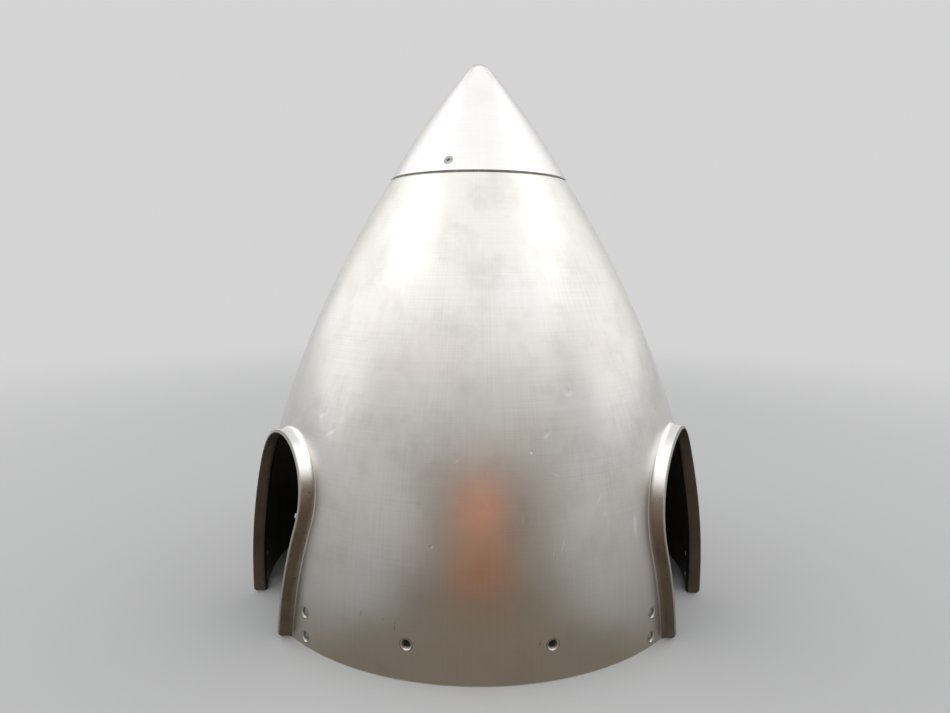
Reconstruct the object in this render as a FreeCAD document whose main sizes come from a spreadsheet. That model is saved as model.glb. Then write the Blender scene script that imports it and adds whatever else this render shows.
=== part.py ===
"""Spinner of a three-blade aircraft propeller: a spun sheet shell with flanged blade cutouts,
and a screwed-on nose cap.

The part stands nose up on the shell's open base. The origin is the centre of the base, +Z runs
along the propeller shaft towards the nose, and -Y is the front. Angles about Z are counted from
-Y towards +X, so a point at angle a and radius r is (r sin a, -r cos a, z). Millimetres.
"""
import FreeCAD, Part
import math
import os
import re

import Sketcher

Vector = FreeCAD.Vector

SIZES = [
    # shell wall: a straight band, a belly arc and a brow arc, all tangent
    ("base_radius", 203.0, "outer radius of the base band"),
    ("sheet", 2.0, "thickness of the shell's sheet"),
    ("band_height", 18.8, "height of the straight band at the base"),
    ("belly_radius", 500.0, "radius of the lower arc of the wall's section"),
    ("belly_height", 191.2, "height where the lower arc meets the upper arc"),
    ("brow_radius", 886.0, "radius of the upper arc of the wall's section"),
    ("seam_height", 370.6, "height where the skin turns in at the shoulder"),
    ("shoulder_round", 1.8, "rounding of the shoulder at the seam"),
    ("joggle_length", 4.0, "height over which the wall steps in to the lip"),
    ("lip_height", 25.0, "height of the lip that carries the cap"),
    # blade cutouts, seen along the blade: side a faces increasing angle, side b decreasing angle
    ("blades", 3, "number of blade cutouts"),
    ("throat_half_a", 40.4, "half width of the opening at the base, side a"),
    ("throat_half_b", 44.0, "half width of the opening at the base, side b"),
    ("shoulder_radius_a", 50.0, "radius of the opening's shoulder, side a"),
    ("shoulder_radius_b", 69.0, "radius of the opening's shoulder, side b"),
    ("crown_shift", 11.0, "sideways shift of the opening's top towards side a"),
    ("crown_height", 158.5, "height of the opening's top"),
    ("flange_stand", 10.0, "how far the flange stands out of the wall"),
    ("root_fillet", 4.0, "bend between the wall and the flange, outside"),
    ("flange_corner", 5.0, "rounding of the flange's lower outer corner"),
    ("flange_lift", 1.2, "height of the flange's foot above the base"),
    # screw holes in the base
    ("screw_hole_radius", 2.6, "radius of the base screw holes"),
    ("countersink_radius", 4.55, "radius of the base countersinks at the skin"),
    ("bulkhead_hole_angle", 15.0, "angle of a bulkhead screw from its wall section's middle"),
    ("bulkhead_hole_height", 28.0, "height of the bulkhead screws"),
    ("plate_hole_angle", 18.2, "angle of the filler plate screws from the blade's axis"),
    ("plate_hole_low", 8.0, "height of the lower filler plate screws"),
    ("plate_hole_high", 28.0, "height of the upper filler plate screws"),
    # nose cap
    ("cap_sheet", 1.6, "thickness of the cap's sheet"),
    ("cap_proud", 0.65, "how far the cap stands proud of the shell's skin"),
    ("seam_gap", 2.6, "height of the cap's edge above the start of the shoulder"),
    ("cap_arc_radius", 650.0, "radius of the arc of the cap's section"),
    ("tip_radius", 13.0, "radius of the cap's tip"),
    ("total_height", 477.2, "height of the tip above the base"),
    ("cap_fit", 0.25, "gap between the cap and the lip"),
    # cap screws, their nuts and rivets
    ("cap_screws", 3, "number of cap screws"),
    ("cap_screw_angle", -20.0, "angle of the first cap screw"),
    ("cap_screw_rise", 11.4, "height of the cap screws above the shoulder"),
    ("cap_screw_radius", 2.08, "radius of the cap screws' shank"),
    ("cap_screw_sink", 0.12, "depth of a cap screw's head below the cap's skin"),
    ("cap_screw_length", 12.7, "length of the cap screws, with the head"),
    ("cap_screw_point", 0.6, "bevel at a cap screw's point"),
    ("cap_head_radius", 4.05, "radius of the cap screws' flush head"),
    ("cap_hole_play", 0.2, "play round a cap screw in its holes"),
    ("flush_angle", 50.0, "half angle of every flush head and countersink, degrees"),
    ("recess_width", 0.9, "width of the cross slot in a cap screw"),
    ("recess_reach", 1.9, "half length of the cross slot"),
    ("recess_depth", 1.1, "depth of the cross slot"),
    ("nut_plate", 1.0, "thickness of an anchor nut's plate"),
    ("nut_plate_width", 9.0, "width of the plate, along the slope"),
    ("nut_plate_half", 12.5, "half length of the plate, round the lip"),
    ("nut_plate_round", 3.8, "rounding of the plate's corners"),
    ("nut_barrel_radius", 3.4, "radius of the nut's barrel"),
    ("nut_barrel_length", 5.0, "length of the barrel beyond the plate"),
    ("nut_barrel_bevel", 0.6, "bevel at the barrel's end"),
    ("nut_bore_play", 0.04, "play between the screw and the nut's bore"),
    ("seat_fit", 0.05, "gap between the plate and the lip"),
    ("rivet_pitch_half", 8.7, "distance from a cap screw to each lug rivet"),
    ("rivet_radius", 1.2, "radius of the lug rivets"),
    ("rivet_head_radius", 2.3, "radius of a rivet's flush head"),
    ("rivet_tail_radius", 1.9, "radius of a rivet's formed tail"),
    ("rivet_tail", 0.8, "height of a rivet's formed tail"),
    ("rivet_play", 0.05, "play round a rivet in its holes"),
]

# worked out from the sizes: the arcs of the wall and of the cap, and where the cap screws sit
DERIVED = [
    ("swing", "asin((belly_height - band_height) / belly_radius)", "turn of the lower arc"),
    ("brow_x", "base_radius - belly_radius + cos(swing) * (belly_radius - brow_radius)",
     "centre of the upper arc, from the axis"),
    ("brow_z", "band_height + sin(swing) * (belly_radius - brow_radius)",
     "height of the upper arc's centre"),
    ("seam_turn", "asin((seam_height - brow_z) / brow_radius)", "slope of the wall at the seam"),
    ("edge_height", "seam_height + seam_gap", "height of the cap's edge"),
    ("edge_radius", "brow_x + brow_radius * cos(seam_turn) - seam_gap * tan(seam_turn)"
     " + cap_proud / cos(seam_turn)", "outer radius of the cap's edge"),
    ("tip_height", "total_height - tip_radius", "height of the tip's centre"),
    ("cap_run", "sqrt(edge_radius ^ 2 + (tip_height - edge_height) ^ 2)",
     "distance from the cap's edge to the tip's centre"),
    ("cap_foot", "(cap_arc_radius ^ 2 - (cap_arc_radius - tip_radius) ^ 2 + cap_run ^ 2)"
     " / (2 * cap_run)", "foot of the cap arc's centre on that line"),
    ("cap_side", "sqrt(cap_arc_radius ^ 2 - cap_foot ^ 2)", "distance of the centre from it"),
    ("cap_x", "edge_radius - (edge_radius * cap_foot + (tip_height - edge_height) * cap_side)"
     " / cap_run", "centre of the cap's arc, from the axis"),
    ("cap_z", "edge_height + ((tip_height - edge_height) * cap_foot - edge_radius * cap_side)"
     " / cap_run", "height of the cap arc's centre"),
    ("screw_height", "seam_height + cap_screw_rise", "height of the cap screws on the skin"),
    ("screw_turn", "asin((screw_height - cap_z) / cap_arc_radius)", "slope of the cap there"),
    ("screw_distance", "cap_x + cap_arc_radius * cos(screw_turn)", "their distance from the axis"),
    ("rivet_turn", "rivet_pitch_half / screw_distance * 180 / pi",
     "angle about the axis from a cap screw to its rivets"),
]

BELOW = 30.0  # how far the forms run below the base before the foot is trimmed
BEYOND = 6.0  # how far cutting forms run past what they cut
CLEAR = 1.0  # how far a small drill runs past its hole
RIM = "base_radius + flange_stand"  # the flanges' rims beside the band
REACH = "%s + %g" % (RIM, BEYOND)  # how far out the collars and throats run
OUTSIDE = "%s + %g" % (RIM, 4 * BEYOND)  # clear of the collars' corners
NEAR = 0.02  # how close an edge has to lie to a surface to count as on it

doc = FreeCAD.newDocument("spinner")
sheet = doc.addObject("Spreadsheet::Sheet", "sizes")
for row, (alias, number, meaning) in enumerate(SIZES, 1):
    sheet.set("A%d" % row, meaning)
    sheet.set("B%d" % row, str(number))
    sheet.setAlias("B%d" % row, alias)
for row, (alias, formula, meaning) in enumerate(DERIVED, len(SIZES) + 1):
    sheet.set("A%d" % row, meaning)
    sheet.set("B%d" % row, "=" + formula)
    sheet.setAlias("B%d" % row, alias)
doc.recompute()

WORDS = re.compile(r"\b(%s)\b" % "|".join(row[0] for row in SIZES + DERIVED))


def bound(text):
    """A formula in the sheet's words, written as FreeCAD's expressions want it."""
    return WORDS.sub(r"sizes.\1", text)


def value(text):
    """The number that a formula in the sheet's words gives now."""
    result = sheet.evalExpression(bound(text))
    return float(getattr(result, "Value", result))


# ---------------------------------------------------------------- sketches and features


def plane_of(body, role):
    return next(f for f in body.Origin.OriginFeatures if f.Role == role)


def new_body(name):
    body = doc.addObject("PartDesign::Body", name)
    body.Label = name
    return body


def new_sketch(body, name, turn=None, height=None):
    """A sketch in the upright plane X-Z. turn swings it about Z, height raises its origin."""
    sketch = body.newObject("Sketcher::SketchObject", name)
    sketch.AttachmentSupport = (plane_of(body, "XZ_Plane"), [""])
    sketch.MapMode = "FlatFace"
    if turn is not None:
        sketch.AttachmentOffset = FreeCAD.Placement(
            Vector(0, value(height or "0"), 0),
            FreeCAD.Rotation(Vector(0, 1, 0), value(turn)),
        )
        if height:
            sketch.setExpression("AttachmentOffset.Base.y", bound(height))
        sketch.setExpression("AttachmentOffset.Rotation.Angle", bound(turn))
    return sketch


def fix(sketch, kind, *where, to=None):
    """Add a constraint, bound to a formula of the sheet where one is given."""
    if to is None:
        return sketch.addConstraint(Sketcher.Constraint(kind, *where))
    index = sketch.addConstraint(Sketcher.Constraint(kind, *where, value(to)))
    sketch.setExpression("Constraints[%d]" % index, bound(to))
    return index


def at(sketch, geo, end, x=None, z=None):
    """Hold a point at formulas for its place across and up."""
    for kind, text, axis in (("DistanceX", x, -2), ("DistanceY", z, -1)):
        if text == "0":
            fix(sketch, "PointOnObject", geo, end, axis)
        elif text is not None:
            fix(sketch, kind, -1, 1, geo, end, to=text)


def line(sketch, start, stop):
    return sketch.addGeometry(Part.LineSegment(start, stop))


def arc(sketch, centre, radius, start, stop):
    """Arc drawn anticlockwise from start to stop."""
    a, b = start - centre, stop - centre
    circle = Part.Circle(centre, Vector(0, 0, 1), radius)
    return sketch.addGeometry(
        Part.ArcOfCircle(circle, math.atan2(a.y, a.x), math.atan2(b.y, b.x))
    )


def polyline(sketch, points):
    """Closed run of straight edges through points given as pairs of formulas."""
    spots = [Vector(value(x), value(z), 0) for x, z in points]
    count = len(spots)
    first = sketch.GeometryCount
    for i in range(count):
        sketch.addGeometry(Part.LineSegment(spots[i], spots[(i + 1) % count]))
    for i in range(count):
        fix(sketch, "Coincident", first + i, 2, first + (i + 1) % count, 1)
    for i, (x, z) in enumerate(points):
        at(sketch, first + i, 1, x, z)
    return first


def turn_about(body, kind, name, sketch, axis="V_Axis", degrees=360.0, midplane=False):
    """Revolution or Groove of a sketch about one of its axes."""
    feature = body.newObject("PartDesign::" + kind, name)
    feature.Profile = sketch
    feature.ReferenceAxis = (sketch, [axis])
    feature.Angle = degrees
    feature.Midplane = midplane
    doc.recompute()
    return feature


def spread(body, name, feature, count):
    """Repeat a feature evenly about Z."""
    pattern = body.newObject("PartDesign::PolarPattern", name)
    pattern.Originals = [feature]
    pattern.Axis = (plane_of(body, "Z_Axis"), [""])
    pattern.Angle = 360
    pattern.Occurrences = int(value(count))
    pattern.setExpression("Occurrences", bound(count))
    body.Tip = pattern
    doc.recompute()
    return pattern


def fillet_edges(body, name, base, edges, radius):
    feature = body.newObject("PartDesign::Fillet", name)
    feature.Base = (base, edges)
    feature.Radius = value(radius)
    feature.setExpression("Radius", bound(radius))
    doc.recompute()
    return feature


def hole(body, name, turn, height, points, count=None):
    """Hole or countersink turned about a level line at the given angle and height.

    points are pairs of formulas: distance from Z, and distance from the hole's own axis.
    """
    sketch = new_sketch(body, name + "_profile", turn, height)
    polyline(sketch, points)
    cut = turn_about(body, "Groove", name, sketch, "H_Axis")
    return spread(body, name + "s", cut, count) if count else cut


def sloped_sketch(body, name, turn, points):
    """Closed profile beside the line square to the cap through its screw.

    points are pairs of formulas: depth below the cap's outer face, and distance from that line.
    """
    sketch = new_sketch(body, name, turn)
    lean = math.radians(value("screw_turn"))
    out = Vector(math.cos(lean), math.sin(lean), 0)
    up = Vector(-math.sin(lean), math.cos(lean), 0)
    seat = Vector(value("screw_distance"), value("screw_height"), 0)

    def spot(depth, side):
        return seat - out * value(depth) + up * value(side)

    axis = sketch.addGeometry(
        Part.LineSegment(seat, spot("cap_screw_length", "0")), True
    )
    at(sketch, axis, 1, "screw_distance", "screw_height")
    fix(sketch, "DistanceY", axis, 2, axis, 1, to="cap_screw_length * sin(screw_turn)")
    fix(sketch, "DistanceX", axis, 2, axis, 1, to="cap_screw_length * cos(screw_turn)")
    first = sketch.GeometryCount
    count = len(points)
    for i in range(count):
        sketch.addGeometry(
            Part.LineSegment(spot(*points[i]), spot(*points[(i + 1) % count]))
        )
    for i in range(count):
        fix(sketch, "Coincident", first + i, 2, first + (i + 1) % count, 1)
    for i, (depth, side) in enumerate(points):
        down = "(%s) * cos(screw_turn) + (%s) * sin(screw_turn)" % (depth, side)
        lift = "(%s) * cos(screw_turn) - (%s) * sin(screw_turn)" % (side, depth)
        at(sketch, first + i, 1, "screw_distance - (%s)" % down, "screw_height + %s" % lift)
    return sketch


# depths below the cap's skin: the lip's outer face, and the seat of the nut's plate
LIP_DEPTH = "cap_sheet + cap_fit"
PLATE_DEPTH = "cap_sheet + cap_fit + sheet + seat_fit"
PLATE_BACK = PLATE_DEPTH + " + nut_plate"
BARREL_END = PLATE_BACK + " + nut_barrel_length"


# ---------------------------------------------------------------- the shell


def polar(centre, radius, height):
    """Point of a circle at a height, on the side away from the axis."""
    turn = math.asin((height - centre.y) / radius)
    return centre + Vector(math.cos(turn), math.sin(turn), 0) * radius


def crossing(centre, radius, other, small):
    """Upper crossing of a circle with a small circle."""
    gap = other - centre
    along = (radius ** 2 - small ** 2 + gap.Length ** 2) / (2 * gap.Length)
    aside = math.sqrt(radius ** 2 - along ** 2)
    ahead = gap.normalize()
    return centre + ahead * along + Vector(-ahead.y, ahead.x, 0) * aside


def wall_section(sketch, inset):
    """Outline of the wall from the axis at the bottom, up the outside and back to the axis.

    inset moves the outline inwards by the sheet's thickness, for the shell's inside, where the
    joggle is a straight step instead of a rounded shoulder.
    """
    deep = inset != "0"
    low = -BELOW - (BEYOND if deep else 0)
    r = value("base_radius - " + inset)
    band_z = value("band_height")
    swing = math.radians(value("swing"))
    turned = Vector(math.cos(swing), math.sin(swing), 0)
    belly = value("belly_radius - " + inset)
    belly_c = Vector(r - belly, band_z, 0)
    brow = value("brow_radius - " + inset)
    brow_c = Vector(value("brow_x"), value("brow_z"), 0)
    leave = "seam_height - joggle_length" if deep else "seam_height"
    end = polar(brow_c, brow, value(leave))
    lip_r = "cap_arc_radius - (%s) - %s" % (LIP_DEPTH, inset)
    lip_z = "seam_height + lip_height" + (" + " + inset if deep else "")
    lip_c = Vector(value("cap_x"), value("cap_z"), 0)
    lip_end = polar(lip_c, value(lip_r), value(lip_z))
    small = value("shoulder_round")
    if deep:
        lip_start = polar(lip_c, value(lip_r), value("seam_height") + small)
    else:
        round_c = end + (brow_c - end).normalize() * small
        lip_start = crossing(lip_c, value(lip_r), round_c, small)

    foot = line(sketch, Vector(0, low, 0), Vector(r, low, 0))
    band = line(sketch, Vector(r, low, 0), Vector(r, band_z, 0))
    belly_arc = arc(sketch, belly_c, belly, Vector(r, band_z, 0), belly_c + turned * belly)
    brow_arc = arc(sketch, brow_c, brow, brow_c + turned * brow, end)
    if deep:
        step = line(sketch, end, lip_start)
    else:
        step = arc(sketch, round_c, small, end, lip_start)
    lip = arc(sketch, lip_c, value(lip_r), lip_start, lip_end)
    top = line(sketch, lip_end, Vector(0, lip_end.y, 0))
    shut = line(sketch, Vector(0, lip_end.y, 0), Vector(0, low, 0))

    fix(sketch, "Coincident", foot, 2, band, 1)
    fix(sketch, "Tangent", band, 2, belly_arc, 1)
    fix(sketch, "Tangent", belly_arc, 2, brow_arc, 1)
    if deep:
        fix(sketch, "Coincident", brow_arc, 2, step, 1)
        at(sketch, lip, 1, z="seam_height + shoulder_round")
    else:
        fix(sketch, "Tangent", brow_arc, 2, step, 1)
        fix(sketch, "Radius", step, to="shoulder_round")
    fix(sketch, "Coincident", step, 2, lip, 1)
    fix(sketch, "Coincident", lip, 2, top, 1)
    fix(sketch, "Coincident", top, 2, shut, 1)
    fix(sketch, "Coincident", shut, 2, foot, 1)
    fix(sketch, "Horizontal", foot)
    fix(sketch, "Vertical", band)
    fix(sketch, "Horizontal", top)
    fix(sketch, "PointOnObject", shut, 1, -2)
    at(sketch, foot, 1, "0", "%g" % low)
    at(sketch, band, 2, "base_radius - " + inset, "band_height")
    fix(sketch, "Radius", belly_arc, to="belly_radius - " + inset)
    fix(sketch, "Radius", brow_arc, to="brow_radius - " + inset)
    at(sketch, belly_arc, 2, z="band_height + (belly_radius - %s) * sin(swing)" % inset)
    at(sketch, brow_arc, 2, z=leave)
    fix(sketch, "Radius", lip, to=lip_r)
    at(sketch, lip, 3, "cap_x", "cap_z")
    at(sketch, lip, 2, z=lip_z)


def blade_outline(sketch, grow):
    """Outline of a blade cutout in the plane square to the blade, side a at -X.

    Each side is a straight line that runs up into its own shoulder arc, and the two arcs meet
    level at the top. grow moves the outline outwards, for the outside of the flange.
    """
    g = value(grow)
    crown = Vector(-value("crown_shift"), value("crown_height") + g, 0)

    def side(name, sign):
        """Circle's centre and radius, and the points where the side's line starts and ends."""
        radius = value("shoulder_radius_" + name) + g
        centre = crown - Vector(0, radius, 0)
        mark = Vector(sign * value("throat_half_" + name), 0, 0)
        reach = (centre - mark).Length
        heading = math.atan2(sign * (centre.x - mark.x), centre.y)
        tilt = heading + math.asin((radius - g) / reach)
        up = Vector(sign * math.sin(tilt), math.cos(tilt), 0)
        out = Vector(sign * math.cos(tilt), -math.sin(tilt), 0)
        touch = centre + out * radius
        low = touch - up * ((touch.y + BELOW) / up.y)
        return centre, radius, mark, low, touch

    ca, ra, mark_a, low_a, touch_a = side("a", -1)
    cb, rb, mark_b, low_b, touch_b = side("b", 1)
    base = line(sketch, low_a, low_b)
    side_b = line(sketch, low_b, touch_b)
    round_b = arc(sketch, cb, rb, touch_b, crown)
    round_a = arc(sketch, ca, ra, crown, touch_a)
    side_a = line(sketch, touch_a, low_a)
    foot_a = sketch.addGeometry(Part.Point(mark_a), True)
    foot_b = sketch.addGeometry(Part.Point(mark_b), True)

    fix(sketch, "Coincident", base, 2, side_b, 1)
    fix(sketch, "Tangent", side_b, 2, round_b, 1)
    fix(sketch, "Tangent", round_b, 2, round_a, 1)
    fix(sketch, "Tangent", round_a, 2, side_a, 1)
    fix(sketch, "Coincident", side_a, 2, base, 1)
    fix(sketch, "Horizontal", base)
    at(sketch, base, 1, z="%g" % -BELOW)
    at(sketch, round_b, 3, "-crown_shift")
    at(sketch, round_a, 3, "-crown_shift")
    fix(sketch, "Radius", round_a, to="shoulder_radius_a + " + grow)
    fix(sketch, "Radius", round_b, to="shoulder_radius_b + " + grow)
    at(sketch, round_a, 1, z="crown_height + " + grow)
    at(sketch, foot_a, 1, "-throat_half_a", "0")
    at(sketch, foot_b, 1, "throat_half_b", "0")
    for foot, edge in ((foot_a, side_a), (foot_b, side_b)):
        if g:
            # the grown side runs beside the opening's own side, a sheet's thickness away
            fix(sketch, "Distance", foot, 1, edge, to=grow)
        else:
            fix(sketch, "PointOnObject", foot, 1, edge)


def on_outline(shape, sketch, radius_at):
    """Names of the edges that lie on both the wall and the sides of the blade cutouts."""
    step = 360.0 / value("blades")
    names = []
    for index, edge in enumerate(shape.Edges, 1):
        first, last = edge.ParameterRange
        spots = [edge.valueAt(first + (last - first) * part) for part in (0.25, 0.5, 0.75)]
        if any(abs(math.hypot(p.x, p.y) - radius_at(p.z)) > NEAR for p in spots):
            continue
        for blade in range(int(value("blades"))):
            turned = [
                FreeCAD.Rotation(Vector(0, 0, 1), -step * blade).multVec(p) for p in spots
            ]
            if any(p.y < 0 for p in turned):
                continue
            flat = [Part.Vertex(Vector(p.x, 0, p.z)) for p in turned]
            if all(v.distToShape(sketch.Shape)[0] < NEAR and v.Z > NEAR - BELOW for v in flat):
                names.append("Edge%d" % index)
    return names


def wall_radius(inset):
    """Function of the height that gives the wall's radius, for a surface inset from the skin."""
    r = value("base_radius") - inset
    band = value("band_height")
    belly = Vector(value("base_radius - belly_radius"), band, 0)
    belly_r = value("belly_radius") - inset
    brow = Vector(value("brow_x"), value("brow_z"), 0)
    join = band + belly_r * math.sin(math.radians(value("swing")))

    def radius_at(z):
        if z <= band:
            return r
        if z <= join:
            return polar(belly, belly_r, z).x
        return polar(brow, value("brow_radius") - inset, z).x

    return radius_at


def rim_section(sketch):
    """Everything further out than the flanges' rims, which is cut away."""
    r = value(RIM)
    grown = value("belly_radius + flange_stand")
    swing = math.radians(value("swing"))
    centre = Vector(r - grown, value("band_height"), 0)
    top = centre + Vector(math.cos(swing), math.sin(swing), 0) * grown
    far = value(OUTSIDE)
    low = -BELOW - BEYOND
    upright = line(sketch, Vector(r, low, 0), Vector(r, centre.y, 0))
    curve = arc(sketch, centre, grown, Vector(r, centre.y, 0), top)
    across = line(sketch, top, Vector(far, top.y, 0))
    down = line(sketch, Vector(far, top.y, 0), Vector(far, low, 0))
    back = line(sketch, Vector(far, low, 0), Vector(r, low, 0))
    fix(sketch, "Tangent", upright, 2, curve, 1)
    fix(sketch, "Coincident", curve, 2, across, 1)
    fix(sketch, "Coincident", across, 2, down, 1)
    fix(sketch, "Coincident", down, 2, back, 1)
    fix(sketch, "Coincident", back, 2, upright, 1)
    fix(sketch, "Vertical", upright)
    fix(sketch, "Horizontal", across)
    fix(sketch, "Vertical", down)
    fix(sketch, "Horizontal", back)
    at(sketch, upright, 2, RIM, "band_height")
    fix(sketch, "Radius", curve, to="belly_radius + flange_stand")
    at(sketch, curve, 2, z="band_height + (belly_radius + flange_stand) * sin(swing)")
    at(sketch, down, 2, OUTSIDE, "%g" % low)


def foot_section(sketch):
    """Everything below the foot: flat at the base, lifted and rounded below the flanges."""
    r = value(RIM)
    far = value(OUTSIDE)
    low = -BELOW - BEYOND
    corner = value("flange_corner")
    rise = value("flange_lift")
    spots = [
        Vector(0, low, 0),
        Vector(0, 0, 0),
        Vector(value("base_radius"), 0, 0),
        Vector(value("base_radius + root_fillet"), rise, 0),
        Vector(r - corner, rise, 0),
        Vector(r, rise + corner, 0),
        Vector(far, rise + corner, 0),
        Vector(far, low, 0),
    ]
    edges = [
        line(sketch, spots[0], spots[1]),
        line(sketch, spots[1], spots[2]),
        line(sketch, spots[2], spots[3]),
        line(sketch, spots[3], spots[4]),
        arc(sketch, Vector(r - corner, rise + corner, 0), corner, spots[4], spots[5]),
        line(sketch, spots[5], spots[6]),
        line(sketch, spots[6], spots[7]),
        line(sketch, spots[7], spots[0]),
    ]
    level, round_corner, ledge, outer, bottom = edges[3:]
    for index, edge in enumerate(edges):
        kind = "Tangent" if edge == level else "Coincident"
        fix(sketch, kind, edge, 2, edges[(index + 1) % len(edges)], 1)
    at(sketch, edges[0], 1, "0", "%g" % low)
    at(sketch, edges[1], 1, "0", "0")
    at(sketch, edges[2], 1, "base_radius", "0")
    at(sketch, level, 1, "base_radius + root_fillet", "flange_lift")
    fix(sketch, "Horizontal", level)
    fix(sketch, "Radius", round_corner, to="flange_corner")
    at(sketch, round_corner, 2, RIM, "flange_lift + flange_corner")
    fix(sketch, "Horizontal", ledge)
    at(sketch, outer, 1, OUTSIDE)
    fix(sketch, "Vertical", outer)
    fix(sketch, "Horizontal", bottom)


def make_shell():
    body = new_body("spinner_shell")

    profile = new_sketch(body, "skin_profile")
    wall_section(profile, "0")
    turn_about(body, "Revolution", "skin", profile)

    outline = new_sketch(body, "flange_outline")
    blade_outline(outline, "sheet")
    collar = body.newObject("PartDesign::Pad", "collar")
    collar.Profile = outline
    collar.Length = value(REACH)
    collar.setExpression("Length", bound(REACH))
    collar.Reversed = True
    doc.recompute()
    spread(body, "collars", collar, "blades")

    rim = new_sketch(body, "rim_profile")
    rim_section(rim)
    trimmed = turn_about(body, "Groove", "rim_trim", rim)

    edges = on_outline(trimmed.Shape, outline, wall_radius(0))
    root = fillet_edges(body, "root_bend", trimmed, edges, "root_fillet")

    inside = new_sketch(body, "inside_profile")
    wall_section(inside, "sheet")
    turn_about(body, "Groove", "inside", inside)

    opening = new_sketch(body, "throat_outline")
    blade_outline(opening, "0")
    throat = body.newObject("PartDesign::Pocket", "throat")
    throat.Profile = opening
    throat.Length = value(REACH)
    throat.setExpression("Length", bound(REACH))
    doc.recompute()
    opened = spread(body, "throats", throat, "blades")

    edges = on_outline(opened.Shape, opening, wall_radius(value("sheet")))
    fillet_edges(body, "inner_bend", opened, edges, "root_fillet + sheet")

    foot = new_sketch(body, "foot_profile")
    foot_section(foot)
    turn_about(body, "Groove", "foot_trim", foot)

    # base screws: six in the wall sections for the bulkhead, twelve beside the blades
    flush = "(countersink_radius - screw_hole_radius) / tan(flush_angle)"
    profile = [
        ("base_radius - sheet - %g" % BEYOND, "0"),
        ("base_radius + %g" % BEYOND, "0"),
        ("base_radius + %g" % BEYOND, "countersink_radius + %g * tan(flush_angle)" % BEYOND),
        ("base_radius - " + flush, "screw_hole_radius"),
        ("base_radius - sheet - %g" % BEYOND, "screw_hole_radius"),
    ]
    half = "180 / blades"
    sites = []
    for side, sign in (("a", ""), ("b", "-")):
        sites.append(
            ("bulkhead_hole_" + side, sign + "bulkhead_hole_angle", "bulkhead_hole_height")
        )
        around = sign + "(%s - plate_hole_angle)" % half
        sites.append(("plate_hole_low_" + side, around, "plate_hole_low"))
        sites.append(("plate_hole_high_" + side, around, "plate_hole_high"))
    for name, around, height in sites:
        # the profile's plane starts at +X, a quarter turn on from the front
        hole(body, name, "(%s) - 90" % around, height, profile, "blades")

    # the lip's holes for the cap screws and for the rivets of their nuts
    bare = "cap_screw_radius + cap_hole_play"
    through = [
        ("0", "0"),
        ("0", bare),
        ("%s + %g" % (PLATE_DEPTH, CLEAR), bare),
        ("%s + %g" % (PLATE_DEPTH, CLEAR), "0"),
    ]
    sketch = sloped_sketch(body, "lip_hole_profile", "cap_screw_angle - 90", through)
    cut = turn_about(body, "Groove", "lip_hole", sketch, "Axis0")
    spread(body, "lip_holes", cut, "cap_screws")
    for side, sign in (("a", "+"), ("b", "-")):
        around = "cap_screw_angle - 90 %s rivet_turn" % sign
        name = "rivet_hole_" + side
        sketch = sloped_sketch(body, name + "_profile", around, rivet_profile("rivet_play", CLEAR))
        cut = turn_about(body, "Groove", name, sketch, "Axis0")
        spread(body, name + "s", cut, "cap_screws")
    return body


def rivet_profile(play, past):
    """Half section of a flush rivet in the lip, or of its hole if play and past are given."""
    head = "rivet_head_radius + " + play
    shank = "rivet_radius + " + play
    drop = "(rivet_head_radius - rivet_radius) / tan(flush_angle)"
    return [
        (LIP_DEPTH, "0"),
        (LIP_DEPTH, head),
        ("%s + %s" % (LIP_DEPTH, drop), shank),
        ("%s + sheet + %g" % (LIP_DEPTH, past), shank),
        ("%s + sheet + %g" % (LIP_DEPTH, past), "0"),
    ]


# ---------------------------------------------------------------- the nose cap


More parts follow.
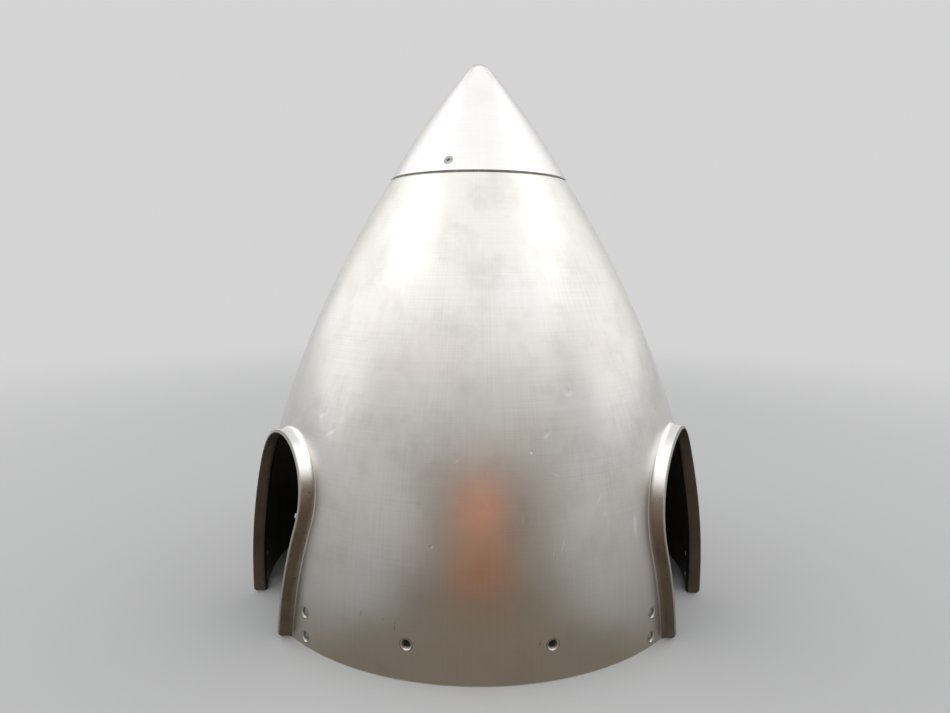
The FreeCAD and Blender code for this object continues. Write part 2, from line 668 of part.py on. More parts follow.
def make_cap():
    body = new_body("nose_cap")
    sketch = new_sketch(body, "cap_profile")
    big = value("cap_arc_radius")
    tip = value("tip_radius")
    thick = value("cap_sheet")
    big_c = Vector(value("cap_x"), value("cap_z"), 0)
    tip_c = Vector(0, value("tip_height"), 0)
    way = (tip_c - big_c).normalize()
    edge_o = Vector(value("edge_radius"), value("edge_height"), 0)
    inward = (big_c - edge_o).normalize()

    def wall(depth):
        """Long arc and tip arc of the cap's section, at a depth in its sheet."""
        touch = tip_c + way * (tip - depth)
        top = tip_c + Vector(0, tip - depth, 0)
        return (
            arc(sketch, big_c, big - depth, edge_o + inward * depth, touch),
            arc(sketch, tip_c, tip - depth, touch, top),
            top,
        )

    long_o, tip_o, top_o = wall(0)
    long_i, tip_i, top_i = wall(thick)
    middle = line(sketch, top_o, top_i)
    edge = line(sketch, edge_o + inward * thick, edge_o)
    fix(sketch, "Tangent", long_o, 2, tip_o, 1)
    fix(sketch, "Coincident", tip_o, 2, middle, 1)
    fix(sketch, "Coincident", middle, 2, tip_i, 2)
    fix(sketch, "Tangent", tip_i, 1, long_i, 2)
    fix(sketch, "Coincident", long_i, 1, edge, 1)
    fix(sketch, "Coincident", edge, 2, long_o, 1)
    at(sketch, long_o, 1, "edge_radius", "edge_height")
    fix(sketch, "Radius", long_o, to="cap_arc_radius")
    fix(sketch, "Radius", tip_o, to="tip_radius")
    fix(sketch, "PointOnObject", tip_o, 3, -2)
    at(sketch, tip_o, 2, "0", "total_height")
    fix(sketch, "Coincident", long_i, 3, long_o, 3)
    fix(sketch, "Coincident", tip_i, 3, tip_o, 3)
    fix(sketch, "PointOnObject", middle, 2, -2)
    share = "(edge_%s - cap_%s) * (1 - cap_sheet / cap_arc_radius) + cap_%s"
    at(sketch, edge, 1, share % ("radius", "x", "x"), share % ("height", "z", "z"))
    turn_about(body, "Revolution", "cap_wall", sketch)

    head = "cap_head_radius + cap_hole_play / 2"
    bare = "cap_screw_radius + cap_hole_play"
    points = [
        ("0 - %g" % CLEAR, "0"),
        ("0 - %g" % CLEAR, "%s + (%g + cap_screw_sink) * tan(flush_angle)" % (head, CLEAR)),
        ("cap_screw_sink + (%s - (%s)) / tan(flush_angle)" % (head, bare), bare),
        ("cap_sheet + %g" % CLEAR, bare),
        ("cap_sheet + %g" % CLEAR, "0"),
    ]
    profile = sloped_sketch(body, "cap_hole_profile", "cap_screw_angle - 90", points)
    cut = turn_about(body, "Groove", "cap_hole", profile, "Axis0")
    spread(body, "cap_holes", cut, "cap_screws")
    return body


# ---------------------------------------------------------------- screws, nuts and rivets


def seat_frame(around, depth):
    """Placement on the line of a cap screw: +Z square out of the cap, +X round it."""
    lean = math.radians(value("screw_turn"))
    turn = math.radians(value(around) - 90.0)
    out = Vector(math.cos(lean) * math.cos(turn), math.cos(lean) * math.sin(turn), math.sin(lean))
    across = Vector(-math.sin(turn), math.cos(turn), 0)
    r = value("screw_distance")
    seat = Vector(r * math.cos(turn), r * math.sin(turn), value("screw_height"))
    rotation = FreeCAD.Rotation(across, out.cross(across), out, "ZXY")
    return FreeCAD.Placement(seat - out * value(depth), rotation)


def pin_sketch(body, name, points):
    """Half section of a turned pin: pairs of distance from the pin's axis and height."""
    sketch = new_sketch(body, name)
    polyline(sketch, points)
    return sketch


def make_screw(name, around):
    """Flush cross-slot screw. Its own origin is the middle of the head's face."""
    body = new_body(name)
    drop = "(cap_head_radius - cap_screw_radius) / tan(flush_angle)"
    sketch = pin_sketch(
        body,
        name + "_profile",
        [
            ("0", "0"),
            ("cap_head_radius", "0"),
            ("cap_screw_radius", "-" + drop),
            ("cap_screw_radius", "-(cap_screw_length - cap_screw_point)"),
            ("cap_screw_radius - cap_screw_point", "-cap_screw_length"),
            ("0", "-cap_screw_length"),
        ],
    )
    turn_about(body, "Revolution", name + "_blank", sketch)
    slots = body.newObject("Sketcher::SketchObject", name + "_slots")
    slots.AttachmentSupport = (plane_of(body, "XY_Plane"), [""])
    slots.MapMode = "FlatFace"
    half = "recess_width / 2"
    long = "recess_reach"
    minus = "-"
    polyline(
        slots,
        [
            (half, half),
            (half, long),
            (minus + half, long),
            (minus + half, half),
            (minus + long, half),
            (minus + long, minus + half),
            (minus + half, minus + half),
            (minus + half, minus + long),
            (half, minus + long),
            (half, minus + half),
            (long, minus + half),
            (long, half),
        ],
    )
    recess = body.newObject("PartDesign::Pocket", name + "_recess")
    recess.Profile = slots
    recess.Length = value("recess_depth")
    recess.setExpression("Length", bound("recess_depth"))
    doc.recompute()
    body.Placement = seat_frame(around, "cap_screw_sink")
    return body


def make_nut(name, around):
    """Two-lug anchor nut: a plate bent to the lip, with a barrel that takes the screw."""
    body = new_body(name)
    half = "nut_plate_width / 2"
    strip = sloped_sketch(
        body,
        name + "_strip",
        "0",
        [
            (PLATE_DEPTH, "0 - " + half),
            (PLATE_DEPTH, half),
            (PLATE_BACK, half),
            (PLATE_BACK, "0 - " + half),
        ],
    )
    sweep = 2 * math.degrees(value("nut_plate_half / screw_distance"))
    plate = turn_about(body, "Revolution", name + "_plate", strip, "V_Axis", sweep, True)
    corners = []
    for index, edge in enumerate(plate.Shape.Edges, 1):
        if abs(edge.Length - value("nut_plate")) < 1e-4:
            corners.append("Edge%d" % index)
    fillet_edges(body, name + "_lugs", plate, corners, "nut_plate_round")

    barrel = sloped_sketch(
        body,
        name + "_barrel_profile",
        "0",
        [
            (PLATE_DEPTH + " + nut_plate / 2", "0"),
            (PLATE_DEPTH + " + nut_plate / 2", "nut_barrel_radius"),
            (BARREL_END + " - nut_barrel_bevel", "nut_barrel_radius"),
            (BARREL_END, "nut_barrel_radius - nut_barrel_bevel"),
            (BARREL_END, "0"),
        ],
    )
    turn_about(body, "Revolution", name + "_barrel", barrel, "Axis0")
    bore = sloped_sketch(
        body,
        name + "_bore_profile",
        "0",
        [
            (LIP_DEPTH, "0"),
            (LIP_DEPTH, "cap_screw_radius + nut_bore_play"),
            ("%s + %g" % (BARREL_END, CLEAR), "cap_screw_radius + nut_bore_play"),
            ("%s + %g" % (BARREL_END, CLEAR), "0"),
        ],
    )
    turn_about(body, "Groove", name + "_bore", bore, "Axis0")
    for side, sign in (("a", ""), ("b", "-")):
        drill = sloped_sketch(
            body,
            "%s_lug_hole_%s_profile" % (name, side),
            sign + "rivet_turn",
            [
                (LIP_DEPTH, "0"),
                (LIP_DEPTH, "rivet_radius + rivet_play"),
                ("%s + %g" % (PLATE_BACK, CLEAR), "rivet_radius + rivet_play"),
                ("%s + %g" % (PLATE_BACK, CLEAR), "0"),
            ],
        )
        turn_about(body, "Groove", "%s_lug_hole_%s" % (name, side), drill, "Axis0")
    body.Placement = FreeCAD.Placement(
        Vector(0, 0, 0), FreeCAD.Rotation(Vector(0, 0, 1), value(around) - 90.0)
    )
    return body


def make_rivet(name, around):
    """Flush rivet. Its own origin is the middle of the head, on the lip's outer face."""
    body = new_body(name)
    drop = "(rivet_head_radius - rivet_radius) / tan(flush_angle)"
    grip = "sheet + seat_fit + nut_plate"
    tail = "rivet_play / 2"
    sketch = pin_sketch(
        body,
        name + "_profile",
        [
            ("0", "0"),
            ("rivet_head_radius", "0"),
            ("rivet_radius", "-" + drop),
            ("rivet_radius", "-(%s + %s)" % (grip, tail)),
            ("rivet_tail_radius", "-(%s + %s)" % (grip, tail)),
            ("rivet_tail_radius", "-(%s + %s + rivet_tail)" % (grip, tail)),
            ("0", "-(%s + %s + rivet_tail)" % (grip, tail)),
        ],
    )
    turn_about(body, "Revolution", name + "_pin", sketch)
    body.Placement = seat_frame(around, LIP_DEPTH)
    return body


# ---------------------------------------------------------------- the assembly

pieces = [make_shell(), make_cap()]
screw_count = int(value("cap_screws"))
for k in range(screw_count):
    around = "cap_screw_angle + %d * 360 / cap_screws" % k
    pieces.append(make_screw("cap_screw_%d" % (k + 1), around))
    pieces.append(make_nut("anchor_nut_%d" % (k + 1), around))
    for j, sign in enumerate("-+"):
        name = "lug_rivet_%d" % (2 * k + j + 1)
        pieces.append(make_rivet(name, "%s %s rivet_turn" % (around, sign)))
doc.recompute()

for item in doc.Objects:
    if "Invalid" in item.State or "Error" in item.State:
        raise RuntimeError("%s did not build: %s" % (item.Label, item.State))
for piece in pieces:
    if piece.Shape.isNull() or not piece.Shape.isValid() or len(piece.Shape.Solids) != 1:
        raise RuntimeError("%s is not one valid solid" % piece.Label)

os.makedirs("parts", exist_ok=True)
for piece in pieces:
    piece.Shape.exportStep("parts/%s.step" % piece.Label)
    print("%-16s %10.1f mm3" % (piece.Label, piece.Shape.Volume))
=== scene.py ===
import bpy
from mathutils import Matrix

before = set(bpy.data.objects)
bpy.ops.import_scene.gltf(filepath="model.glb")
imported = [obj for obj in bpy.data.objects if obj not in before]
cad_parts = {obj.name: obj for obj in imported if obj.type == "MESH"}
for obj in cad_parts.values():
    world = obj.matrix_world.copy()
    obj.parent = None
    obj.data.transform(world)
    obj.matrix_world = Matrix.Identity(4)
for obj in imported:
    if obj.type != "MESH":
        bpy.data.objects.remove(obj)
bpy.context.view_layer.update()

# The propeller spinner dressed for the camera: brushed, stained and scratched aluminium, with
# painted highlights and shade, that stands on a pale floor in soft studio light.

import math

import bpy
from mathutils import Matrix, Vector

# ---------------------------------------------------------------- sizes, in metres and degrees

BASE_R = 0.203  # outer radius of the base band
BAND = 0.0188  # height of the straight base band
BELLY = 0.500  # radius of the wall's lower arc
BLADES = 3
STAND = 0.010  # how far a flange's rim stands out of the wall
CROWN = 0.172  # above this height there is no flange
# screw holes in the base band: degrees from the middle of a wall section, height
HOLES = [(15.0, 0.028), (41.8, 0.028), (41.8, 0.008)]

# ---------------------------------------------------------------- looks

# brushing: marks a metre round the part and up it
STREAK_R = 0.16  # radius at which the count round the part holds
RINGS = (6.0, 900.0)
STROKES = (700.0, 9.0)
STROKES_SLICE = 3.0  # keeps the strokes' noise apart from the rings'

# noise: marks a metre, octaves, roughness
BRUSHING = (1.0, 3.0, 0.60)
CLOUD = (9.0, 4.0, 0.55)
CAP_CLOUD = (14.0, 4.0, 0.55)
WORKED = (24.0, 3.0, 0.55)
GRIME = (38.0, 5.0, 0.62)
SMEAR = (60.0, 4.0, 0.60)
SPECKS = (300.0, 3.0, 0.50)
FINE = (420.0, 3.0, 0.60)

# parts of a noise's range, from low to high
WHOLE = (0.3, 0.7)
UPPER = (0.35, 0.7)

# colours of the shell
SHEET = (0.70, 0.69, 0.67)
SHEET_WARM = (0.67, 0.64, 0.59)
# the wall's tone, darker towards the bottom
BASE_DARKER = (0.39, 0.365, 0.315)
SMEAR_GREY = (0.46, 0.45, 0.42)
GRIME_GREY = (0.48, 0.46, 0.42)
RING_GREY = (0.40, 0.39, 0.37)
STROKE_GREY = (0.42, 0.41, 0.39)
SMUDGE_BLACK = (0.12, 0.11, 0.10)
SCRATCH_AND_GLINT_WHITE = (0.95, 0.94, 0.90)
# painted highlight where the flanges' bend faces up
BEND_HIGHLIGHT = (0.95, 0.94, 0.92)
# flanges: painted shade and reflection on their sides, varied by grime, with dark pits and
# painted shade near the foot
FLANGE_SHADE_BROWN = (0.27, 0.225, 0.180)
FLANGE_SHADE_DARK = (0.20, 0.165, 0.130)
FLANGE_PIT = (0.05, 0.04, 0.03)
FLANGE_FOOT_SHADE = (0.15, 0.13, 0.11)
# painted highlight on the flanges' cut rim
RIM_HIGHLIGHT = (0.42, 0.40, 0.36)
# countersinks: painted shade in them, a painted highlight ring with wear, a painted shade ring
# with stain
SUNK_SHADE = (0.13, 0.12, 0.11)
SUNK_HIGHLIGHT = (0.70, 0.69, 0.66)
SUNK_RING_SHADE = (0.22, 0.21, 0.19)
# painted shade inside the shell, over its dull inner face
INSIDE_SHADE = (0.060, 0.052, 0.042)
INSIDE_SHADE_DARK = (0.035, 0.030, 0.024)

# colours of the cap
CAP_SHEET = (0.76, 0.755, 0.745)
CAP_WARM = (0.70, 0.69, 0.665)
CAP_GREY = (0.50, 0.49, 0.47)
# painted shade inside the cap, over its dull inner face
CAP_INSIDE_SHADE = (0.10, 0.09, 0.08)

# light scratches and rubs, with painted glints and highlight streaks: angle, height, half
# length, half width, tilt
SCRATCHES_AND_GLINTS = [
    (27.1, 0.1262, 0.0070, 0.0007, 34.0),
    (28.3, 0.1165, 0.0050, 0.0006, 24.0),
    (16.8, 0.1481, 0.0060, 0.0006, -62.0),
    (17.6, 0.0985, 0.0085, 0.0009, 18.0),
    (15.4, 0.0930, 0.0050, 0.0006, 6.0),
    (1.4, 0.1295, 0.0045, 0.0006, -38.0),
    (-5.2, 0.1588, 0.0032, 0.0007, 48.0),
    (23.6, 0.2060, 0.0060, 0.0006, -12.0),
    (9.0, 0.1180, 0.0050, 0.0005, 12.0),
    (33.0, 0.1480, 0.0060, 0.0005, 8.0),
    (148.0, 0.1300, 0.0080, 0.0007, 30.0),
    (-95.0, 0.2100, 0.0070, 0.0006, -25.0),
    # the six below are painted light: a reflected light band, two highlight streaks and three
    # glints
    (37.0, 0.1020, 0.0130, 0.0030, 4.0),
    (-39.2, 0.1690, 0.0090, 0.0024, 58.0),
    (-43.9, 0.1800, 0.0060, 0.0022, 70.0),
    (15.7, 0.1750, 0.0052, 0.0020, 55.0),
    (11.7, 0.1642, 0.0018, 0.0016, 0.0),
    (-10.1, 0.0998, 0.0018, 0.0015, 0.0),
]
# dark rubs: angle, height, half width, half height, turn
SMUDGES = [
    (-25.2, 0.0452, 0.0032, 0.0008, 84.0),
    (-20.0, 0.0440, 0.0022, 0.0008, 60.0),
    (-17.4, 0.0400, 0.0008, 0.0060, 0.0),
    (-39.4, 0.1143, 0.0008, 0.0022, 10.0),
    (55.6, 0.1798, 0.0010, 0.0016, 0.0),
    (12.2, 0.0300, 0.0040, 0.0008, 80.0),
]
# shallow dents: angle, height, half width, half height
DENTS = [
    (-10.1, 0.0998, 0.0022, 0.0022),
    (15.7, 0.1750, 0.0034, 0.0052),
    (11.7, 0.1642, 0.0020, 0.0020),
    (-43.9, 0.1793, 0.0040, 0.0070),
    (-38.8, 0.1690, 0.0050, 0.0080),
    (23.0, 0.2040, 0.0060, 0.0040),
    (1.0, 0.1260, 0.0090, 0.0050),
    (104.0, 0.1900, 0.0060, 0.0080),
]
# the grey smear high on the front: angle, height, half width, half height
FRONT_SMEAR = (0.0, 0.283, 0.020, 0.034)

# depths of the bumps
RING_DEPTH = 0.000012
STROKE_DEPTH = 0.000008
CLOUD_DEPTH = 0.0005
DENT_DEPTH = 0.00012
SCRATCH_DEPTH = 0.00004
CAP_RING_DEPTH = 0.00002
CAP_CLOUD_DEPTH = 0.0004
CLOUD_STRENGTH = 0.5
SPECK_DEPTH = 0.00003

# masks: how far out of the wall, or from a hole's middle, each one fades in and out
FLANGE_FROM = (0.00002, 0.0004)
RIM_FROM = (STAND - 0.0007, STAND - 0.0003)
SUNK_FROM = (-0.0002, -0.0005)
SUNK_BELOW = (0.035, 0.040)  # heights, above the highest hole
HIGHLIGHT_RING = (0.0034, 0.0037, 0.0041, 0.0044)
SHADE_RING = (0.0043, 0.0046, 0.0049, 0.0055)
INWARD = (-0.02, -0.25)  # how far the surface faces the axis

# ---------------------------------------------------------------- stage

SKY_TONE = (0.66, 0.66, 0.66)
FLOOR_TONE = (0.52, 0.52, 0.52)
# painted shade on the floor under the shell
UNDER_SHADE = (0.06, 0.06, 0.06)  # the floor in the shell's own dark
UNDER_EDGE = (BASE_R - 0.05, BASE_R - 0.01)
FLOOR_FADE = (0.35, 2.0)  # distances over which the floor runs out into the sky's tone
FLOOR_SIZE = 60.0
WORLD_TINT = (0.97, 0.98, 1.0)
WORLD_LIGHT = 0.50

# soft boxes: name, place, target, size, radiance
LAMPS = [
    ("top", (0.0, -0.60, 1.9), (0, -0.2, 0.3), (4.0, 2.7), 0.70),
    ("left", (-1.65, 0.35, 1.45), (0, 0, 0.25), (2.4, 2.1), 0.80),
    ("right", (1.65, 0.35, 1.45), (0, 0, 0.25), (2.4, 2.1), 0.70),
]
# cards that the metal mirrors: name, centre, its two half sides, colour
CARDS = [
    ("dark_flag", (0.05, -0.62, 0.12), (0.46, 0, 0), (0, 0, 0.25), (0.27, 0.24, 0.20)),
    ("floor_flag", (0, -0.30, 0.0005), (0.23, 0, 0), (0, 0.24, 0), (0.27, 0.235, 0.19)),
    ("floor_core", (0, -0.46, 0.0008), (0.34, 0, 0), (0, 0.16, 0), (0.20, 0.175, 0.14)),
    ("warm_high", (0.004, -0.42, 0.150), (0.066, 0, 0), (0, 0, 0.062), (0.85, 0.28, 0.12)),
    ("warm_low", (0.007, -0.42, 0.040), (0.100, 0, 0), (0, 0, 0.060), (0.48, 0.19, 0.09)),
]
CARD_FADE = 0.45  # share of a card's half side at which its soft edge starts

LENS = 25.495  # millimetres, on a 36 mm sensor
SENSOR = 36.0
CAMERA_AT = (-0.00777, -0.64345, 0.2960)
CAMERA_PAN = -0.4578
CAMERA_DIP = 7.7326
CAMERA_ROLL = 0.2746


# ---------------------------------------------------------------- node graph helpers


class Graph:
    """Node tree of a material or a world, built by calls that each return an output socket."""

    def __init__(self, owner, output="OutputMaterial"):
        owner.use_nodes = True
        self.owner = owner
        self.tree = owner.node_tree
        self.tree.nodes.clear()
        self.surface = self.node(output).inputs["Surface"]

    def node(self, kind, **settings):
        made = self.tree.nodes.new("ShaderNode" + kind)
        for key, setting in settings.items():
            setattr(made, key, setting)
        return made

    def put(self, socket, thing):
        """Link a socket into another, or set it to a number, a colour or a vector."""
        if isinstance(thing, bpy.types.NodeSocket):
            self.tree.links.new(thing, socket)
        elif socket.type == "RGBA":
            socket.default_value = (*thing, 1.0)
        else:
            socket.default_value = thing

    def call(self, made, *things):
        """Fill a node's first inputs in their order, and return its first output."""
        for socket, thing in zip(made.inputs, things):
            self.put(socket, thing)
        return made.outputs[0]

    def coordinates(self):
        """Position in the row frame, in metres."""
        return self.node("TexCoord").outputs["Object"]

    def normal(self):
        return self.node("NewGeometry").outputs["Normal"]

    def maths(self, operation, a, b=0.0):
        return self.call(self.node("Math", operation=operation), a, b)

    def add(self, a, b):
        return self.maths("ADD", a, b)

    def less(self, a, b):
        return self.maths("SUBTRACT", a, b)

    def times(self, a, b):
        return self.maths("MULTIPLY", a, b)

    def most(self, a, b):
        return self.maths("MAXIMUM", a, b)

    def root(self, a):
        return self.maths("SQRT", self.most(a, 0.0))

    def distance(self, a, b):
        """Length of the flat vector a, b."""
        return self.root(self.add(self.times(a, a), self.times(b, b)))

    def split(self, vector):
        made = self.node("SeparateXYZ")
        self.put(made.inputs[0], vector)
        return made.outputs

    def join(self, x, y, z):
        return self.call(self.node("CombineXYZ"), x, y, z)

    def noise(self, vector, scale, detail, roughness):
        made = self.node("TexNoise")
        self.put(made.inputs["Vector"], vector)
        made.inputs["Scale"].default_value = scale
        made.inputs["Detail"].default_value = detail
        made.inputs["Roughness"].default_value = roughness
        return made.outputs["Fac"]

    def ramp(self, thing, low, high, start=0.0, end=1.0, smooth=False):
        """Ramp from start at low to end at high, level beyond."""
        kind = "SMOOTHSTEP" if smooth else "LINEAR"
        made = self.node("MapRange", clamp=True, interpolation_type=kind)
        self.put(made.inputs["Value"], thing)
        self.put(made.inputs["From Min"], low)
        self.put(made.inputs["From Max"], high)
        self.put(made.inputs["To Min"], start)
        self.put(made.inputs["To Max"], end)
        return made.outputs["Result"]

    def ring(self, thing, start, full, wane, end):
        """1 from full to wane, and 0 up to start and from end."""
        return self.times(self.ramp(thing, start, full), self.ramp(thing, wane, end, 1.0, 0.0))

    def mix(self, share, a, b):
        """Colour a where share is 0 and b where it is 1."""
        made = self.node("Mix", data_type="RGBA")
        self.put(made.inputs["Factor"], share)
        self.put(made.inputs[6], a)
        self.put(made.inputs[7], b)
        return made.outputs[2]

    def choose(self, share, a, b):
        """Shader a where share is 0 and b where it is 1."""
        return self.call(self.node("MixShader"), share, a, b)

    def emission(self, tone):
        return self.call(self.node("Emission"), tone)

    def bump(self, height, distance, strength=1.0, base=None):
        made = self.node("Bump")
        self.put(made.inputs["Height"], height)
        made.inputs["Distance"].default_value = distance
        made.inputs["Strength"].default_value = strength
        if base is not None:
            self.put(made.inputs["Normal"], base)
        return made.outputs[0]

    def seen_directly(self):
        """1 for rays from the camera, gloss or glass, and 0 for those that light things."""
        path = self.node("LightPath").outputs
        seen = self.most(path["Is Camera Ray"], path["Is Glossy Ray"])
        return self.most(seen, path["Is Transmission Ray"])


class Skin(Graph):
    """Graph for a piece that was spun about Z: knows the radius, the angle and the height."""

    def __init__(self, name):
        super().__init__(bpy.data.materials.new(name))
        self.place = self.coordinates()
        self.x, self.y, self.z = self.split(self.place)
        self.radius = self.distance(self.x, self.y)
        self.angle = self.maths("ARCTAN2", self.x, self.times(self.y, -1.0))
        self.around = self.times(self.angle, STREAK_R)

    def facing_out(self):
        """How far the surface faces away from the axis, from -1 to 1."""
        nx, ny, _ = self.split(self.normal())
        dot = self.add(self.times(nx, self.x), self.times(ny, self.y))
        return self.maths("DIVIDE", dot, self.most(self.radius, 0.001))

    def stand(self):
        """How far a point stands out of the wall's lower arc."""
        rise = self.most(self.less(self.z, BAND), 0.0)
        reach = self.root(self.less(BELLY ** 2, self.times(rise, rise)))
        return self.less(self.radius, self.add(reach, BASE_R - BELLY))

    def spot(self, degrees, height, width, tall, turn=0.0):
        """Soft patch, 1 at its middle and 0 beyond its half width and half height."""
        a = self.times(self.less(self.angle, math.radians(degrees)), self.radius)
        b = self.less(self.z, height)
        c, s = math.cos(math.radians(turn)), math.sin(math.radians(turn))
        u = self.add(self.times(a, c / width), self.times(b, s / width))
        v = self.add(self.times(a, -s / tall), self.times(b, c / tall))
        return self.ramp(self.distance(u, v), 0.0, 1.0, 1.0, 0.0, smooth=True)

    def spots(self, patches):
        """All the patches together."""
        total = self.spot(*patches[0])
        for patch in patches[1:]:
            total = self.most(total, self.spot(*patch))
        return total

    def from_holes(self):
        """Distance from the middle of the nearest screw hole in the base band."""
        section = math.radians(360.0 / BLADES)
        turned = self.maths("FLOORED_MODULO", self.add(self.angle, section / 2), section)
        side = self.maths("ABSOLUTE", self.less(turned, section / 2))
        nearest = 1.0
        for degrees, height in HOLES:
            a = self.times(self.less(side, math.radians(degrees)), BASE_R)
            far = self.distance(a, self.less(self.z, height))
            nearest = self.maths("MINIMUM", far, nearest)
        return nearest

    def streaks(self):
        """Brushing round the part, and strokes up its sides."""
        rings = self.join(self.times(self.around, RINGS[0]), self.times(self.z, RINGS[1]), 0.0)
        rise = self.join(
            self.times(self.around, STROKES[0]), self.times(self.z, STROKES[1]), STROKES_SLICE
        )
        return self.noise(rings, *BRUSHING), self.noise(rise, *BRUSHING)

    def metal(self, color, rough, normal, anisotropic=0.0):
        shader = self.node("BsdfPrincipled")
        self.put(shader.inputs["Base Color"], color)
        self.put(shader.inputs["Roughness"], rough)
        self.put(shader.inputs["Normal"], normal)
        shader.inputs["Metallic"].default_value = 1.0
        if anisotropic:
            shader.inputs["Anisotropic"].default_value = anisotropic
            tangent = self.node("Tangent", direction_type="RADIAL", axis="Z")
            self.put(shader.inputs["Tangent"], tangent.outputs[0])
        self.put(self.surface, shader.outputs[0])
        return self.owner


# ---------------------------------------------------------------- materials


def soiled_sheet(g, cloud, grime, rings, strokes, worked):
    """Colour of the brushed wall, darker towards its base, with the smear on its front."""
    color = g.mix(g.ramp(cloud, *UPPER), SHEET, SHEET_WARM)
    height = g.add(g.z, g.ramp(grime, *WHOLE, -0.015, 0.015))
    # darker towards the base
    color = g.mix(g.ramp(height, 0.0, 0.15, 0.40, 0.0, smooth=True), color, BASE_DARKER)
    patchy = g.ramp(g.noise(g.place, *SMEAR), *WHOLE, 0.10, 0.60)
    color = g.mix(g.times(g.spot(*FRONT_SMEAR), patchy), color, SMEAR_GREY)
    color = g.mix(g.ramp(grime, 0.48, 0.78, 0.0, 0.50), color, GRIME_GREY)
    color = g.mix(g.times(g.ramp(rings, 0.4, 0.7, 0.0, 0.19), worked), color, RING_GREY)
    return g.mix(g.times(g.ramp(strokes, 0.4, 0.7, 0.0, 0.18), worked), color, STROKE_GREY)


def flange_shade_and_grime(g, grime, fine):
    """Painted shade and warm reflection for the flanges' sides, varied by grime, with dark
    pits and more painted shade near the foot.
    """
    color = g.mix(g.ramp(grime, 0.4, 0.65), FLANGE_SHADE_BROWN, FLANGE_SHADE_DARK)
    color = g.mix(g.ramp(fine, 0.62, 0.74, 0.0, 0.7), color, FLANGE_PIT)
    return g.mix(g.ramp(g.z, 0.02, 0.07, 0.35, 0.0), color, FLANGE_FOOT_SHADE)


def shell_aluminium():
    """Spun sheet, brushed by hand: darker towards the base, painted highlight and shade on the
    bent flanges, painted shade over the dull inside.
    """
    g = Skin("shell_aluminium")
    rings, strokes = g.streaks()
    cloud = g.noise(g.place, *CLOUD)
    grime = g.noise(g.place, *GRIME)
    fine = g.noise(g.place, *FINE)
    worked = g.ramp(g.noise(g.place, *WORKED), 0.35, 0.65, 0.25, 1.0)

    color = soiled_sheet(g, cloud, grime, rings, strokes, worked)
    dark = g.times(g.spots(SMUDGES), g.ramp(fine, 0.35, 0.6, 0.2, 0.8))
    color = g.mix(dark, color, SMUDGE_BLACK)
    light = g.spots([(d, z, width, length, -t) for d, z, length, width, t in SCRATCHES_AND_GLINTS])
    # light scratches together with painted glints, highlight streaks and a reflected light
    # band
    color = g.mix(g.times(light, 0.42), color, SCRATCH_AND_GLINT_WHITE)

    # the flanges: painted highlight where the bend faces up, painted shade and reflection in
    # brown on the sides, with a painted highlight on the cut rim
    stand = g.stand()
    low = g.ramp(g.z, CROWN - 0.004, CROWN, 1.0, 0.0)
    flange = g.times(g.ramp(stand, *FLANGE_FROM, smooth=True), low)
    upward = g.split(g.normal())[2]
    shade = g.times(flange, g.ramp(upward, 0.30, 0.68, 1.0, 0.0, smooth=True))
    # painted highlight on the flange where its bend faces up
    color = g.mix(g.times(flange, g.ramp(upward, 0.40, 0.70)), color, BEND_HIGHLIGHT)
    # painted shade and reflection on the flanges' sides
    color = g.mix(shade, color, flange_shade_and_grime(g, grime, fine))
    # painted highlight on the cut rim
    color = g.mix(g.times(g.ramp(stand, *RIM_FROM), low), color, RIM_HIGHLIGHT)

    # the countersinks: painted shade in them with their grime, a painted highlight ring near
    # their edge with its wear, and a painted shade ring round them with its stain
    sunk = g.times(g.ramp(stand, *SUNK_FROM), g.ramp(g.z, *SUNK_BELOW, 1.0, 0.0))
    color = g.mix(g.times(sunk, 0.85), color, SUNK_SHADE)
    far = g.from_holes()
    color = g.mix(g.times(g.ring(far, *HIGHLIGHT_RING), 0.8), color, SUNK_HIGHLIGHT)
    color = g.mix(g.times(g.ring(far, *SHADE_RING), 0.65), color, SUNK_RING_SHADE)

    # the inside: painted shade over its dull, unpolished face
    inward = g.ramp(g.facing_out(), *INWARD, smooth=True)
    inside = g.times(inward, g.less(1.0, flange))
    color = g.mix(inside, color, g.mix(g.ramp(grime, 0.35, 0.65), INSIDE_SHADE, INSIDE_SHADE_DARK))

    rough = g.add(g.ramp(cloud, *WHOLE, 0.30, 0.38), g.ramp(strokes, *WHOLE, -0.03, 0.04))
    rough = g.add(rough, g.times(g.most(inside, shade), 0.12))
    normal = g.bump(g.times(rings, worked), RING_DEPTH)
    normal = g.bump(g.times(strokes, worked), STROKE_DEPTH, base=normal)
    normal = g.bump(cloud, CLOUD_DEPTH, CLOUD_STRENGTH, base=normal)
    normal = g.bump(g.times(g.spots(DENTS), -1.0), DENT_DEPTH, base=normal)
    normal = g.bump(g.times(light, -1.0), SCRATCH_DEPTH, base=normal)
    return g.metal(color, rough, normal, 0.35)


def cap_aluminium():
    """The cap: the same spinning, polished brighter, with painted shade over its dull inside.
    """
    g = Skin("cap_aluminium")
    rings, strokes = g.streaks()
    cloud = g.noise(g.place, *CAP_CLOUD)
    color = g.mix(g.ramp(cloud, *UPPER), CAP_SHEET, CAP_WARM)
    color = g.mix(g.ramp(rings, *WHOLE, 0.0, 0.16), color, CAP_GREY)
    color = g.mix(g.ramp(strokes, 0.35, 0.75, 0.0, 0.10), color, CAP_GREY)
    # painted shade inside the cap
    color = g.mix(g.ramp(g.facing_out(), *INWARD, smooth=True), color, CAP_INSIDE_SHADE)
    rough = g.add(g.ramp(cloud, *WHOLE, 0.27, 0.34), g.ramp(strokes, *WHOLE, -0.03, 0.04))
    normal = g.bump(rings, CAP_RING_DEPTH)
    normal = g.bump(cloud, CAP_CLOUD_DEPTH, CLOUD_STRENGTH, base=normal)
    return g.metal(color, rough, normal, 0.3)


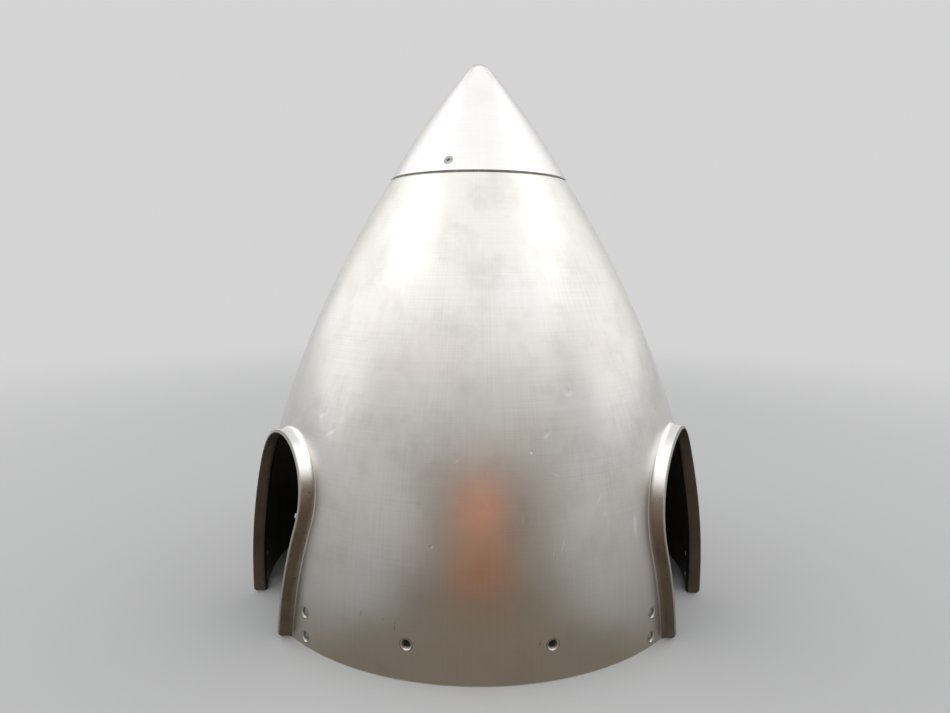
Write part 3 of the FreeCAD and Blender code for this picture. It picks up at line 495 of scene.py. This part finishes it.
def plain_metal(name, tone, roughness):
    """Small turned or pressed hardware."""
    g = Skin(name)
    specks = g.noise(g.place, *SPECKS)
    color = g.mix(g.ramp(specks, *UPPER), tone, tuple(0.6 * part for part in tone))
    rough = g.ramp(specks, *WHOLE, roughness, roughness + 0.15)
    return g.metal(color, rough, g.bump(specks, SPECK_DEPTH))


def dress():
    """Give each node the material that goes with the start of its name."""
    materials = {
        "spinner_shell": shell_aluminium(),
        "nose_cap": cap_aluminium(),
        "cap_screw": plain_metal("screw_steel", (0.42, 0.40, 0.37), 0.35),
        "anchor_nut": plain_metal("nut_steel", (0.30, 0.29, 0.27), 0.45),
        "lug_rivet": plain_metal("rivet_aluminium", (0.50, 0.49, 0.47), 0.40),
    }
    for label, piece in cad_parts.items():
        piece.data.materials.clear()
        kind = next(key for key in materials if label.startswith(key))
        piece.data.materials.append(materials[kind])


# ---------------------------------------------------------------- studio


def make_floor():
    """Pale floor that takes the object's shadow, with painted shade under the shell, and runs
    out into the background's tone.
    """
    bpy.ops.mesh.primitive_plane_add(size=FLOOR_SIZE, location=(0, 0, 0))
    floor = bpy.context.object
    floor.name = "floor"
    g = Graph(bpy.data.materials.new("floor_pale"))
    length = g.node("VectorMath", operation="LENGTH")
    g.put(length.inputs[0], g.coordinates())
    away = length.outputs["Value"]
    # painted shade on the floor under the shell
    under_shade = g.ramp(away, *UNDER_EDGE, 1.0, 0.0)
    matt = g.call(g.node("BsdfDiffuse"), g.mix(under_shade, FLOOR_TONE, UNDER_SHADE))
    far = g.times(g.ramp(away, *FLOOR_FADE, smooth=True), g.seen_directly())
    g.put(g.surface, g.choose(far, matt, g.emission(SKY_TONE)))
    floor.data.materials.append(g.owner)


def make_world():
    """Even light from all round, which the camera and the metal see as the sky's tone."""
    world = bpy.data.worlds.new("studio")
    bpy.context.scene.world = world
    g = Graph(world, "OutputWorld")
    light = g.call(g.node("Background"), WORLD_TINT, WORLD_LIGHT)
    shown = g.call(g.node("Background"), SKY_TONE, 1.0)
    g.put(g.surface, g.choose(g.seen_directly(), light, shown))


def add_lamp(name, place, target, size, radiance):
    data = bpy.data.lights.new(name, "AREA")
    data.shape = "RECTANGLE"
    data.size, data.size_y = size
    data.energy = radiance * math.pi * size[0] * size[1]
    lamp = bpy.data.objects.new(name, data)
    bpy.context.scene.collection.objects.link(lamp)
    lamp.location = place
    aim = Vector(target) - Vector(place)
    lamp.rotation_euler = aim.to_track_quat("-Z", "Y").to_euler()


def add_card(name, centre, across, up, tone):
    """Coloured card with soft edges that only shows as a reflection in the metal."""
    across, up = Vector(across), Vector(up)
    corners = [-across - up, across - up, across + up, up - across]
    mesh = bpy.data.meshes.new(name)
    mesh.from_pydata(corners, [], [(0, 1, 2, 3)])
    card = bpy.data.objects.new(name, mesh)
    card.location = centre
    bpy.context.scene.collection.objects.link(card)
    for ray in ("camera", "diffuse", "shadow", "transmission", "volume_scatter"):
        setattr(card, "visible_" + ray, False)
    g = Graph(bpy.data.materials.new(name))
    fades = []
    for half in (across, up):
        along = g.node("VectorMath", operation="DOT_PRODUCT")
        g.put(along.inputs[0], g.coordinates())
        g.put(along.inputs[1], half / half.length_squared)
        reach = g.maths("ABSOLUTE", along.outputs["Value"])
        fades.append(g.ramp(reach, CARD_FADE, 1.0, 1.0, 0.0, smooth=True))
    clear = g.node("BsdfTransparent").outputs[0]
    g.put(g.surface, g.choose(g.times(*fades), clear, g.emission(tone)))
    mesh.materials.append(g.owner)


def make_camera():
    """The photo's point of view."""
    data = bpy.data.cameras.new("camera")
    data.sensor_width = SENSOR
    data.lens = LENS
    data.clip_start = 0.01
    camera = bpy.data.objects.new("camera", data)
    bpy.context.scene.collection.objects.link(camera)
    turn = Matrix.Rotation(math.radians(CAMERA_PAN), 4, "Z")
    tilt = Matrix.Rotation(math.radians(90.0 - CAMERA_DIP), 4, "X")
    roll = Matrix.Rotation(math.radians(CAMERA_ROLL), 4, "Z")
    camera.matrix_world = Matrix.Translation(Vector(CAMERA_AT)) @ turn @ tilt @ roll
    bpy.context.scene.camera = camera


dress()
make_floor()
make_world()
for lamp in LAMPS:
    add_lamp(*lamp)
for card in CARDS:
    add_card(*card)
make_camera()
bpy.context.scene.view_settings.view_transform = "Standard"
